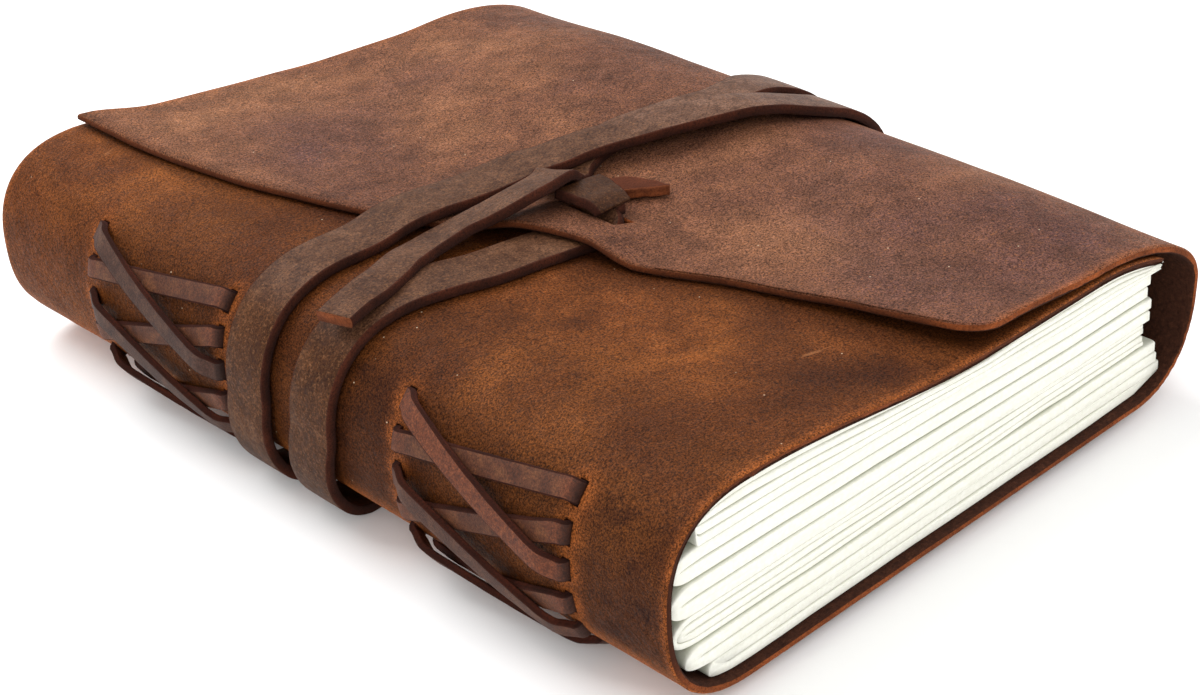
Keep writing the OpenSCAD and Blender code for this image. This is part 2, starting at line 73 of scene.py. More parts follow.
def lookup(x, table):
    return float(np.interp(x, [p[0] for p in table], [p[1] for p in table]))


def eased(x, table, r):
    return (lookup(x - r, table) + 2 * lookup(x, table) + lookup(x + r, table)) / 4


def place(d, e, h):
    return Vector((d - COVER_W / 2, e - COVER_H / 2, STRAP_T + FLOOR_GAP + h))


def rounded(q, a, b, n, off):
    c, s = math.cos(math.radians(q)), math.sin(math.radians(q))
    r = ((abs(c) / a) ** n + (abs(s) / b) ** n) ** (-1 / n)
    x, z = r * c, r * s
    gx = (abs(x) / a) ** (n - 1) / a
    gz = math.copysign((abs(z) / b) ** (n - 1) / b, z)
    k = math.hypot(gx, gz)
    return x + gx / k * off, z + gz / k * off, gx / k, gz / k


def spine_at(q, off):
    p = rounded(q, SPINE_DEPTH, SPINE_H / 2, SPINE_N, off)
    return SPINE_DEPTH - p[0], SPINE_H / 2 + p[1], -p[2], p[3]


# Clearance of the fold over the front at the tail edge, and how far the fold swells above that
FOLD_CLEAR, FOLD_SWELL = 0.9, 2.8


def fold_h(e):
    s = e / COVER_H
    swell = 0.7 * smooth(s / 0.22) + 0.3 * smooth((s - 0.4) / 0.15) - 0.8 * smooth((s - 0.72) / 0.28)
    return FRONT_H + LEATHER_T + FOLD_CLEAR + FOLD_SWELL * swell


def fold_at(t, off, e):
    up = t >= 0
    a = FOLD_TOP if up else FOLD_LOW
    b = fold_h(e) - FOLD_MID if up else FOLD_MID
    n = FOLD_TOP_N if up else FOLD_LOW_N
    s, c = math.sin(math.radians(t)), max(0.0, math.cos(math.radians(t)))
    q = math.degrees(math.atan2(math.copysign(b * abs(s) ** (2 / n), s), a * c ** (2 / n)))
    p = rounded(q, a, b, n, off)
    return COVER_W - a + p[0], FOLD_MID + p[1], p[2], p[3]


def front_at(d):
    return (SPINE_H - (SPINE_H - FRONT_H) * smooth((d - SPINE_DEPTH) / FRONT_SLOPE)
            - FRONT_DROP * max(0.0, min(1.0, (d - FRONT_W + FRONT_BEND) / FRONT_BEND)) ** 2)


# The flap's cut free edge: share of the cover's height, share of its width
FREE_EDGE = [(0, 0.545), (0.06, 0.522), (0.14, 0.5), (0.25, 0.453), (0.3, 0.412), (0.33, 0.39),
             (0.4, 0.377), (0.44, 0.358), (0.54, 0.277), (0.61, 0.236), (0.73, 0.186), (0.83, 0.165),
             (0.9, 0.156), (1, 0.154)]
FLAP_CORNER = 6.0


def free_at(e):
    c = FLAP_CORNER - min(FLAP_CORNER, e)
    corner = FLAP_CORNER - math.sqrt(FLAP_CORNER * FLAP_CORNER - c * c)
    return COVER_W * eased(e / COVER_H, FREE_EDGE, 0.02) + corner


def strap_under(d, e):
    return (1 - smooth((abs(e - KNOT_E) - SLIT_HALF) / 11)) * (1 - smooth((d - KNOT_D) / 10))


def corner_lift(d, e):
    i = d - free_at(e)
    return (2.2 * (1 - smooth(i / 26)) * (1 - smooth(e / 42))
            + 0.4 * (1 - smooth(i / 22)) * smooth((e - COVER_H + 30) / 30))


def flap_at(d, e):
    if d > FOLD_START:
        x = (d - FOLD_START) / FOLD_TOP
        return FOLD_MID + (fold_h(e) - FOLD_MID) * math.sqrt(max(0.0, 1 - x * x))
    at_fold = fold_h(e) - LEATHER_T - front_at(FOLD_START)
    rise = mix(REST_GAP, at_fold, smooth((d - FOLD_START) / FLAP_FALL + 1))
    return front_at(d) + LEATHER_T + rise + (STRAP_T + REST_GAP) * strap_under(d, e) + corner_lift(d, e)


# The head edge is cut by hand: over the front it draws in unevenly, over the back evenly
HEAD_SKEW = 11.5
HEAD_DRAW = [(0.03, 0), (0.11, 0.5), (0.38, 0.47), (0.64, 1)]


def skewed(d, e, h):
    s = (d - SPINE_DEPTH) / (COVER_W - SPINE_DEPTH)
    if h < SPINE_H / 2:
        draw = math.sin(math.pi / 2 * max(0.0, min(1.0, s / 0.62)))
    else:
        draw = eased(s, HEAD_DRAW, 0.026)
    return e - HEAD_SKEW * draw * smooth((e / COVER_H - 0.7) / 0.3)


def wander(x, y, z, scale, seed=0.0):
    return noise.noise(Vector((x / scale + seed, y / scale - seed, z / scale + 2 * seed)))


# Mesh helpers

def new_object(name, points, faces, materials, indices=None, uvs=None, attributes=None):
    mesh = bpy.data.meshes.new(name)
    mesh.from_pydata([tuple(Vector(p) * MM) for p in points], [], faces)
    for m in materials:
        mesh.materials.append(m)
    if indices is not None:
        mesh.polygons.foreach_set("material_index", indices)
    if uvs is not None:
        layer = mesh.uv_layers.new(name="UVMap")
        loops = np.zeros(len(mesh.loops), np.int64)
        mesh.loops.foreach_get("vertex_index", loops)
        layer.data.foreach_set("uv", np.array(uvs, np.float32)[loops].ravel())
    for key, values in (attributes or {}).items():
        layer = mesh.attributes.new(key, "FLOAT", "POINT")
        layer.data.foreach_set("value", np.array(values, np.float32))
    mesh.polygons.foreach_set("use_smooth", [True] * len(mesh.polygons))
    mesh.update()
    obj = bpy.data.objects.new(name, mesh)
    bpy.context.scene.collection.objects.link(obj)
    return obj


def finer(values, step):
    out = [values[0]]
    for a, b in zip(values, values[1:]):
        n = max(1, int(math.ceil(abs(b - a) / step)))
        out += [a + (b - a) * i / n for i in range(1, n + 1)]
    return out


# Material helpers

def srgb(r, g, b):
    def f(v):
        v /= 255
        return v / 12.92 if v <= 0.04045 else ((v + 0.055) / 1.055) ** 2.4
    return (f(r), f(g), f(b), 1.0)


class Nodes:
    def __init__(self, name):
        self.material = bpy.data.materials.new(name)
        self.material.use_nodes = True
        self.tree = self.material.node_tree
        self.tree.nodes.clear()
        self.out = self.tree.nodes.new("ShaderNodeOutputMaterial")
        self.shader = self.tree.nodes.new("ShaderNodeBsdfPrincipled")
        self.link(self.shader.outputs[0], self.out.inputs[0])
        self.coords = self.tree.nodes.new("ShaderNodeTexCoord")

    def link(self, a, b):
        self.tree.links.new(a, b)

    def mapped(self, output, scale, rotation=(0, 0, 0)):
        n = self.tree.nodes.new("ShaderNodeMapping")
        n.inputs["Scale"].default_value = scale
        n.inputs["Rotation"].default_value = rotation
        self.link(self.coords.outputs[output], n.inputs["Vector"])
        return n.outputs[0]

    def noise(self, vector, scale, detail=3.0, rough=0.55, distortion=0.0):
        n = self.tree.nodes.new("ShaderNodeTexNoise")
        n.inputs["Scale"].default_value = scale
        n.inputs["Detail"].default_value = detail
        n.inputs["Roughness"].default_value = rough
        n.inputs["Distortion"].default_value = distortion
        self.link(vector, n.inputs["Vector"])
        return n.outputs["Fac"]

    def cells(self, vector, scale, feature="F1"):
        n = self.tree.nodes.new("ShaderNodeTexVoronoi")
        n.feature = feature
        n.inputs["Scale"].default_value = scale
        n.inputs["Randomness"].default_value = 1.0
        self.link(vector, n.inputs["Vector"])
        return n.outputs["Distance"]

    def ramp(self, value, stops, kind="LINEAR"):
        n = self.tree.nodes.new("ShaderNodeValToRGB")
        n.color_ramp.interpolation = kind
        while len(n.color_ramp.elements) < len(stops):
            n.color_ramp.elements.new(0.5)
        for element, (at, colour) in zip(n.color_ramp.elements, stops):
            element.position = at
            element.color = colour if isinstance(colour, tuple) else (colour, colour, colour, 1)
        self.link(value, n.inputs[0])
        return n.outputs[0]

    def blend(self, factor, a, b, mode="MIX"):
        n = self.tree.nodes.new("ShaderNodeMix")
        n.data_type = "RGBA"
        n.blend_type = mode
        for socket, value in ((n.inputs[0], factor), (n.inputs[6], a), (n.inputs[7], b)):
            if isinstance(value, (int, float, tuple)):
                socket.default_value = value
            else:
                self.link(value, socket)
        return n.outputs[2]

    def math(self, operation, a, b=0.0, clamp=False):
        n = self.tree.nodes.new("ShaderNodeMath")
        n.operation = operation
        n.use_clamp = clamp
        for socket, value in ((n.inputs[0], a), (n.inputs[1], b)):
            if isinstance(value, (int, float)):
                socket.default_value = value
            else:
                self.link(value, socket)
        return n.outputs[0]

    def contrast(self, value, amount):
        """A factor round 1 that follows a noise value, for multiplying a colour."""
        centred = self.math("MULTIPLY", self.math("SUBTRACT", value, 0.5), amount)
        return self.math("MAXIMUM", self.math("ADD", centred, 1.0), 0.2)

    def attribute(self, name):
        n = self.tree.nodes.new("ShaderNodeAttribute")
        n.attribute_name = name
        return n.outputs["Fac"]

    def bump(self, height, distance, strength=1.0, normal=None):
        n = self.tree.nodes.new("ShaderNodeBump")
        n.inputs["Strength"].default_value = strength
        n.inputs["Distance"].default_value = distance
        self.link(height, n.inputs["Height"])
        if normal is not None:
            self.link(normal, n.inputs["Normal"])
        return n.outputs[0]

    def finish(self, colour=None, rough=None, normal=None, **values):
        if colour is not None:
            self.link(colour, self.shader.inputs["Base Color"])
        if rough is not None:
            self.link(rough, self.shader.inputs["Roughness"])
        if normal is not None:
            self.link(normal, self.shader.inputs["Normal"])
        for key, value in values.items():
            self.shader.inputs[key.replace("_", " ")].default_value = value
        return self.material


def oiled_leather():
    m = Nodes("oiled_leather")
    mm = m.mapped("Object", (1000, 1000, 1000))
    # Patches of oil and handling, warmer on the front and spine; the flap's paler, greyer ramp is painted
    # sheen
    patch = m.noise(mm, 0.024, 4, 0.6, 0.6)
    mottle = m.noise(mm, 0.17, 5, 0.65)
    warm = m.ramp(patch, [(0.3, srgb(78, 39, 16)), (0.46, srgb(101, 54, 22)),
                          (0.58, srgb(122, 68, 28)), (0.72, srgb(144, 83, 36))])
    sheen_ramp = m.ramp(patch, [(0.3, srgb(82, 52, 40)), (0.46, srgb(95, 61, 45)),
                          (0.58, srgb(107, 70, 50)), (0.72, srgb(122, 82, 58))])
    base = m.blend(m.attribute("flap_sheen"), warm, sheen_ramp)
    # Stains of oil; painted shade on the spine, on the front near and under the flap and along the flap's
    # free edge; orange where the hide is bent or pulled, and a painted highlight low on the spine
    spread = m.ramp(mottle, [(0.3, 0.6), (0.7, 1.0)])
    base = m.blend(m.math("MULTIPLY", m.attribute("stain"), spread), base, srgb(72, 48, 46))
    base = m.blend(m.math("MULTIPLY", m.attribute("shade"), spread), base, srgb(30, 11, 5))
    base = m.blend(m.math("MULTIPLY", m.attribute("stretch_and_highlight"), spread), base, srgb(166, 92, 44))
    # Mottling, then the fine grain with its light flecks
    base = m.blend(1.0, base, m.contrast(mottle, 1.5), "MULTIPLY")
    grain = m.noise(mm, 3.0, 4, 0.85)
    base = m.blend(1.0, base, m.contrast(grain, 8.5), "MULTIPLY")
    fleck = m.ramp(m.noise(mm, 1.9, 3, 0.75), [(0.54, 0.0), (0.67, 0.5)])
    fleck = m.math("MULTIPLY", fleck, m.math("SUBTRACT", 1.0, m.attribute("shade")))
    fleck = m.math("MULTIPLY", fleck, m.ramp(mottle, [(0.35, 0.25), (0.65, 1.0)]))
    base = m.blend(fleck, base, srgb(170, 108, 62))
    # Long light scratches and specks
    scratch_at = m.mapped("UV", (18, 160, 1), (0, 0, 0.6))
    scratch = m.ramp(m.noise(scratch_at, 1.0, 6, 0.75, 1.2), [(0.66, 0.0), (0.7, 0.35)])
    base = m.blend(scratch, base, srgb(170, 112, 70))
    speck = m.ramp(m.cells(mm, 0.2), [(0.02, 0.7), (0.035, 0.0)])
    base = m.blend(speck, base, srgb(215, 190, 160))
    rough = m.ramp(m.noise(mm, 0.6, 4, 0.6), [(0.3, 0.5), (0.7, 0.7)])
    pebble = m.cells(mm, 1.25, "SMOOTH_F1")
    normal = m.bump(pebble, 0.0002, 0.8)
    normal = m.bump(grain, 0.0001, 0.6, normal)
    normal = m.bump(m.noise(mm, 0.12, 4, 0.5), 0.0006, 0.5, normal)
    return m.finish(base, rough, normal, Specular_IOR_Level=0.06)


def cut_edge(name, light, dark):
    m = Nodes(name)
    mm = m.mapped("Object", (1000, 1000, 1000))
    fibre = m.noise(mm, 2.6, 5, 0.75)
    base = m.ramp(fibre, [(0.3, dark), (0.5, light), (0.7, tuple(min(1, c * 1.5) for c in light[:3]) + (1,))])
    base = m.blend(m.ramp(m.noise(mm, 0.15, 3), [(0.35, 0.0), (0.65, 0.6)]), base, dark)
    base = m.blend(m.attribute("shade"), base, dark)
    normal = m.bump(fibre, 0.0003, 0.9)
    return m.finish(base, None, normal, Roughness=0.95, Specular_IOR_Level=0.15)


def flesh_side():
    m = Nodes("flesh_side")
    mm = m.mapped("Object", (1000, 1000, 1000))
    nap = m.noise(mm, 1.2, 5, 0.7)
    base = m.ramp(nap, [(0.3, srgb(38, 20, 14)), (0.6, srgb(66, 38, 26)), (0.8, srgb(92, 56, 38))])
    return m.finish(base, None, m.bump(nap, 0.0004, 0.8), Roughness=0.95, Specular_IOR_Level=0.1)


def strap_leather():
    m = Nodes("strap_leather")
    mm = m.mapped("Object", (1000, 1000, 1000))
    mottle = m.noise(mm, 0.14, 5, 0.65, 0.4)
    base = m.ramp(mottle, [(0.3, srgb(48, 25, 10)), (0.5, srgb(65, 37, 18)), (0.7, srgb(82, 51, 29))])
    # Higher up the strap is paler and greyer: painted sheen
    pale = m.ramp(mottle, [(0.3, srgb(76, 52, 41)), (0.5, srgb(94, 67, 53)), (0.7, srgb(113, 84, 69))])
    base = m.blend(m.attribute("pale"), base, pale)
    grain = m.noise(mm, 2.6, 4, 0.8)
    base = m.blend(1.0, base, m.contrast(grain, 5.0), "MULTIPLY")
    fleck = m.ramp(m.noise(mm, 1.7, 3, 0.75), [(0.53, 0.0), (0.67, 0.5)])
    base = m.blend(fleck, base, srgb(128, 88, 58))
    dark = m.ramp(m.noise(mm, 0.5, 4, 0.7), [(0.35, 0.55), (0.5, 0.0)])
    base = m.blend(dark, base, srgb(50, 28, 18))
    base = m.blend(m.attribute("shade"), base, srgb(34, 17, 10))
    rough = m.ramp(m.noise(mm, 0.8, 4, 0.6), [(0.3, 0.45), (0.7, 0.62)])
    normal = m.bump(m.cells(mm, 1.5, "SMOOTH_F1"), 0.0001, 0.5)
    normal = m.bump(grain, 0.00008, 0.5, normal)
    return m.finish(base, rough, normal, Specular_IOR_Level=0.08)


def lace_leather():
    m = Nodes("lace_leather")
    mm = m.mapped("Object", (1000, 1000, 1000))
    mottle = m.noise(mm, 0.3, 5, 0.65, 0.4)
    brown = m.ramp(mottle, [(0.3, srgb(66, 32, 18)), (0.5, srgb(98, 55, 32)), (0.7, srgb(132, 82, 48))])
    nap = m.noise(mm, 1.2, 5, 0.75)
    suede = m.ramp(nap, [(0.3, srgb(84, 38, 18)), (0.55, srgb(132, 68, 36)), (0.75, srgb(166, 96, 56))])
    grey = m.ramp(mottle, [(0.3, srgb(46, 25, 18)), (0.5, srgb(72, 46, 35)), (0.7, srgb(98, 68, 52))])
    base = m.blend(m.attribute("suede"), brown, suede)
    base = m.blend(m.attribute("grey"), base, grey)
    grain = m.noise(mm, 2.8, 4, 0.75)
    base = m.blend(1.0, base, m.contrast(grain, 4.0), "MULTIPLY")
    base = m.blend(m.attribute("shade"), base, srgb(30, 12, 7))
    normal = m.bump(grain, 0.00018, 0.8)
    return m.finish(base, None, normal, Roughness=0.6, Specular_IOR_Level=0.22)


def paper():
    m = Nodes("paper")
    mm = m.mapped("Object", (1000, 1000, 1000))
    fibre = m.noise(mm, 1.1, 4, 0.6)
    base = m.ramp(fibre, [(0.3, srgb(226, 225, 213)), (0.7, srgb(238, 237, 228))])
    base = m.blend(m.ramp(m.noise(mm, 0.07, 3), [(0.4, 0.0), (0.75, 0.3)]), base, srgb(228, 226, 210))
    # Faint lines between leaves within a gathering, seen edge on: painted shade in the gaps
    leaves = m.noise(m.mapped("Object", (30, 120, 5200)), 1.0, 3, 0.6)
    base = m.blend(m.ramp(leaves, [(0.56, 0.0), (0.68, 0.28)]), base, srgb(208, 208, 192))
    base = m.blend(m.attribute("shade"), base, srgb(186, 188, 168))
    return m.finish(base, None, m.bump(fibre, 0.00012, 0.5), Roughness=0.85, Specular_IOR_Level=0.2)


LEATHER = oiled_leather()
LEATHER_EDGE = cut_edge("cover_edge", srgb(142, 74, 36), srgb(56, 26, 13))
FLESH = flesh_side()
STRAP = strap_leather()
STRAP_EDGE = cut_edge("strap_edge", srgb(72, 34, 20), srgb(30, 13, 8))
TIP_EDGE = cut_edge("strap_tip_edge", srgb(140, 76, 42), srgb(74, 36, 20))
TIP_FACE = cut_edge("strap_tip_face", srgb(112, 58, 34), srgb(58, 28, 17))
LACE = lace_leather()
LACE_EDGE = cut_edge("lace_edge", srgb(70, 30, 16), srgb(32, 13, 8))
PAPER = paper()

# Leather cover: one hide, from the front cover's cut end round the spine, the back and the fore-edge
# to the flap's free edge. Every line of the grid along e is cut at the same stations.

spine_stops = [90, 74, 60]
for q in ROWS:
    spine_stops += [q + SLIT_ANGLE, q - SLIT_ANGLE]
spine_stops += [-74, -90]
spine_lines = finer(spine_stops, 2.6)
fold_lines = finer([-90, 90], 3.0)
front_lines = finer([FRONT_W, SPINE_DEPTH], 1.7)[:-1]
back_lines = finer([SPINE_DEPTH, COVER_W - FOLD_LOW], 6.0)[1:-1]
N_OUTER, N_INNER = 26, 26

# Distances from the tail edge that the grid's lines pass through, then the finer lines between them
e_stops = [0, 0.7, 2, FLAP_CORNER]
for c in COLUMNS[:2]:
    e_stops += [c - SLIT_WIDTH / 2, c + SLIT_WIDTH / 2]
e_stops += [KNOT_E - SLIT_HALF, KNOT_E + SLIT_HALF]
for c in COLUMNS[2:]:
    e_stops += [c - SLIT_WIDTH / 2, c + SLIT_WIDTH / 2]
e_stops += [COVER_H]
e_lines = finer(e_stops, 1.25)
e_lines = sorted({round(v, 5) for v in e_lines + [0.25, COVER_H - 0.3, COVER_H - 0.9]})


def flap_line(e):
    f = free_at(e)
    a, b = max(KNOT_D, f + 3), max(KNOT_D + SLIT_OPEN, f + 7)
    outer = [mix(FOLD_START, b, (i + 1) / N_OUTER) for i in range(N_OUTER)]
    inner = [a] + [mix(a, f, (i + 1) / N_INNER) for i in range(N_INNER)]
    inner[-2] = f + 0.3
    return outer + inner


def section(e):
    out = [(d, front_at(d), 0.0, 1.0) for d in front_lines]
    out += [spine_at(q, 0) for q in spine_lines]
    out += [(d, 0.0, 0.0, -1.0) for d in back_lines]
    out += [fold_at(t, 0, e) for t in fold_lines]
    out += [(d, flap_at(d, e), 0.0, 1.0) for d in flap_line(e)]
    return out


def line_at(lines, value):
    return min(range(len(lines)), key=lambda i: abs(lines[i] - value))


def slit_holes():
    """Cells of the grid that the laces' and the strap's slits leave out."""
    first = len(front_lines)
    cols = [line_at(e_lines, c - SLIT_WIDTH / 2) for c in COLUMNS]
    ends = [line_at(e_lines, c + SLIT_WIDTH / 2) for c in COLUMNS]
    holes = set()
    for q in ROWS:
        i0 = first + line_at(spine_lines, q + SLIT_ANGLE)
        i1 = first + line_at(spine_lines, q - SLIT_ANGLE)
        for j0, j1 in zip(cols, ends):
            holes |= {(i, j) for i in range(i0, i1) for j in range(j0, j1)}
    flap = first + len(spine_lines) + len(back_lines) + len(fold_lines) + N_OUTER - 1
    j0, j1 = line_at(e_lines, KNOT_E - SLIT_HALF), line_at(e_lines, KNOT_E + SLIT_HALF)
    holes |= {(flap, j) for j in range(j0, j1)}
    return holes


# Oil stains on the flap, and painted shade on the front and spine: d, e, radius, strength
STAINS = [(43, 134, 13, 1.0), (56, 148, 14, 0.7), (80, 150, 13, 0.4), (112, 62, 20, 0.7), (96, 44, 20, 0.5),
          (82, 14, 20, 1.0), (108, 12, 20, 0.8), (50, 100, 12, 0.4), (104, 118, 16, 0.35)]
SPINE_PAINT = 22.0
SHADE_PATCHES = [(72, 24, 24, 0.8), (38, 14, 18, 0.6), (30, 66, 14, 0.3), (66, 8, 14, 0.6), (84, 44, 14, 0.5)]


def patches(d, e, h, table):
    total = sum(s * math.exp(-((d - x) ** 2 + (e - y) ** 2) / (r * r)) for x, y, r, s in table)
    return total * (0.75 + 0.6 * wander(d, e, h, 14, 3.1))


def cover_paint(d, e, h, front, flap):
    """Painted flap sheen, oil stain, stretch orange with a painted highlight, and painted shade of the hide
    at one place.
    """
    stain = patches(d, e, h, STAINS) if flap else 0.0
    # Painted sheen: the flap takes the paler, greyer ramp
    flap_sheen = 1.0 if flap else 0.0
    stretch_and_highlight = 0.0
    shade = 0.0
    if not flap and d < SPINE_PAINT:
        for c in COLUMNS:
            for q in ROWS:
                s = spine_at(q, 0)
                r = math.hypot(e - c, math.hypot(d - s[0], h - s[1]) * 0.8)
                stretch_and_highlight = max(stretch_and_highlight, 0.8 * math.exp(-((r / 2.4) ** 2)))
        # Painted shade: the spine darker from near its top downwards, lighter towards its foot and its head
        shade = (0.65 + 0.3 * smooth((37 - h) / 6)) * (1 - smooth((13 - h) / 9))
        shade += 0.2 * wander(d, e, h, 20, 6.0)
        shade *= 1 - 0.5 * smooth((e - 125) / 40)
        # Painted highlight: lighter orange low on the spine
        stretch_and_highlight = max(stretch_and_highlight, 0.75 * smooth((11 - h) / 9))
    if flap:
        near_edge = d - free_at(e)
        stretch_and_highlight = max(stretch_and_highlight, 0.12 * math.exp(-((near_edge / 1.0) ** 2)))
        # Painted shade along the flap's free edge
        shade = 0.7 * math.exp(-((near_edge / 0.8) ** 2)) * smooth((e - 3) / 8)
        stretch_and_highlight = max(stretch_and_highlight, 0.25 * math.exp(-(((d - 128) / 5) ** 2)))
    stretch_and_highlight = max(stretch_and_highlight, 0.4 * math.exp(-((e / 1.1) ** 2)), 0.4 * math.exp(-(((COVER_H - e) / 1.2) ** 2)))
    if front:
        lip = free_at(e) - d
        # Painted shadow near and under the flap's edge, painted shade patches, and painted shade towards the
        # spine
        shade = 0.8 * math.exp(-((max(0.0, lip) / 8) ** 2)) if lip > -6 else 0.85
        shade = max(shade, patches(d, e, h, SHADE_PATCHES), 0.65 * (1 - smooth((d - 19) / 26)))
    return flap_sheen, min(1.0, max(0.0, stain)), min(1.0, stretch_and_highlight), min(1.0, max(0.0, shade))


# Where the wound strap presses the hide flat: middle, half width, and the length over which that ends
PRESSED_E, PRESSED_HALF, PRESSED_FADE = 88.0, 20.0, 12.0
FOLD_PAINT_LINES = 22
EDGE_IN, FRONT_BEVEL = 0.28, 0.6


def build_cover():
    sections = [section(e) for e in e_lines]
    nu, nv = len(sections[0]), len(e_lines)
    holes = slit_holes()
    first_flap = len(front_lines) + len(spine_lines) + len(back_lines) + len(fold_lines)
    n_front = len(front_lines)
    top, low, uvs = [], [], []
    paint = {"flap_sheen": [], "stain": [], "stretch_and_highlight": [], "shade": []}
    for j, e in enumerate(e_lines):
        run = 0.0
        last = None
        for i, (d, h, nd, nh) in enumerate(sections[j]):
            if last is not None:
                run += math.hypot(d - last[0], h - last[1])
            last = (d, h)
            y = skewed(d, e, h)
            soft = min(1.0, e / 3, (COVER_H - e) / 3)
            free = min(1.0, max(0.0, (abs(e - PRESSED_E) - PRESSED_HALF) / PRESSED_FADE))
            waves = 0.22 * wander(d, y, h, 24, 1.7) + 0.07 * wander(d, y, h, 7, 5.3)
            lift = soft * (0.1 + 0.9 * free) * waves
            if n_front <= i < n_front + len(spine_lines) or i >= first_flap:
                lift *= 1.3
            else:
                lift *= 0.5
            rim = EDGE_IN if j in (0, nv - 1) or i in (0, nu - 1) else 0.0
            ragged = 0.2 * wander(d, y, h, 0.8, 9.0) + 0.14 * wander(d, y, h, 3.1, 4.0) if rim else 0.0
            depth = LEATHER_T - lift * 0.3 - rim
            a = place(d + nd * (lift - rim), y, h + nh * (lift - rim))
            b = place(d - nd * depth, y, h - nh * depth)
            if j == 0:
                bevel = FRONT_BEVEL if i < n_front else 0.0
                if i >= n_front and d < SPINE_DEPTH:
                    bevel = FRONT_BEVEL * smooth((h - 16) / 16)
                a.y += max(0.0, ragged)
                b.y += ragged + bevel
            if j == nv - 1:
                a.y += ragged
                b.y += ragged
            top.append(a)
            low.append(b)
            uvs.append((run * MM, y * MM))
            looks = cover_paint(d, e, h, i < n_front, i >= first_flap - FOLD_PAINT_LINES)
            for key, value in zip(paint, looks):
                paint[key].append(value)
    points = top + low
    m = nu * nv
    uvs = uvs + uvs
    for key in paint:
        paint[key] = paint[key] + paint[key]
    faces, kinds = [], []

    def solid(i, j):
        return 0 <= i < nu - 1 and 0 <= j < nv - 1 and (i, j) not in holes

    mids = {}

    def mid(v, s, out):
        key = (v, s)
        if key not in mids:
            p = points[v].lerp(points[v + m], s)
            mids[key] = (len(points) + len(mids), p + out * (0.16 + 0.14 * wander(p.x, p.y, p.z, 0.8, 2.0)))
        return mids[key][0]

    def edge(a, b, out):
        ring_a = [a, mid(a, 0.3, out), mid(a, 0.7, out), a + m]
        ring_b = [b, mid(b, 0.3, out), mid(b, 0.7, out), b + m]
        for s in range(3):
            faces.append((ring_b[s], ring_a[s], ring_a[s + 1], ring_b[s + 1]))
            kinds.append(1)

    for j in range(nv - 1):
        for i in range(nu - 1):
            if not solid(i, j):
                continue
            a, b = j * nu + i, j * nu + i + 1
            c, d = b + nu, a + nu
            faces.append((a, b, c, d))
            kinds.append(0)
            faces.append((a + m, d + m, c + m, b + m))
            kinds.append(2)
            along_u = (points[b] - points[a]).normalized()
            along_v = (points[d] - points[a]).normalized()
            inside = 0.6 if 0 < j < nv - 2 and 0 < i < nu - 2 else 1.0
            if not solid(i, j - 1):
                edge(a, b, -along_v * inside)
            if not solid(i + 1, j):
                edge(b, c, along_u * inside)
            if not solid(i, j + 1):
                edge(c, d, along_v * inside)
            if not solid(i - 1, j):
                edge(d, a, -along_u * inside)
    extra = sorted(mids.items(), key=lambda item: item[1][0])
    for (v, s), (index, p) in extra:
        points.append(p)
        uvs.append(uvs[v])
        for key in paint:
            paint[key].append(paint[key][v])
    return new_object("cover_hide", points, faces, [LEATHER, LEATHER_EDGE, FLESH], kinds, uvs, paint)


# Strips: straps and laces swept along rings of (middle, direction across, half width, half thickness)

def across(a, p, b, w):
    t = (b - a).normalized()
    w = (w - t * t.dot(w)).normalized()
    return t, w, w.cross(t)


def spline(rings, step, closed=False):
    n = len(rings)
    out = []
    spans = n if closed else n - 1
    for i in range(spans):
        def at(k):
            return rings[k % n] if closed else rings[min(n - 1, max(0, k))]
        r0, r1, r2, r3 = at(i - 1), at(i), at(i + 1), at(i + 2)
        length = (r2[0] - r1[0]).length
        m = max(1, int(math.ceil(length / step)))
        l01 = max(1e-4, (r1[0] - r0[0]).length)
        l12 = max(1e-4, length)
        l23 = max(1e-4, (r3[0] - r2[0]).length)
        # A curve through the ring middles whose slopes follow uneven spacing
        t1 = ((r1[0] - r0[0]) / l01 + (r2[0] - r1[0]) / l12) * 0.5 * l12
        t2 = ((r2[0] - r1[0]) / l12 + (r3[0] - r2[0]) / l23) * 0.5 * l12
        if (r1[0] - r0[0]).length < 1e-6:
            t1 = r2[0] - r1[0]
        if (r3[0] - r2[0]).length < 1e-6:
            t2 = r2[0] - r1[0]
        for k in range(m):
            s = k / m
            s2, s3 = s * s, s * s * s
            p = (r1[0] * (2 * s3 - 3 * s2 + 1) + t1 * (s3 - 2 * s2 + s)
                 + r2[0] * (3 * s2 - 2 * s3) + t2 * (s3 - s2))
            e = smooth(s)
            out.append((p, r1[1].lerp(r2[1], e), mix(r1[2], r2[2], e), mix(r1[3], r2[3], e)))
    if not closed:
        out.append(rings[-1])
    return out


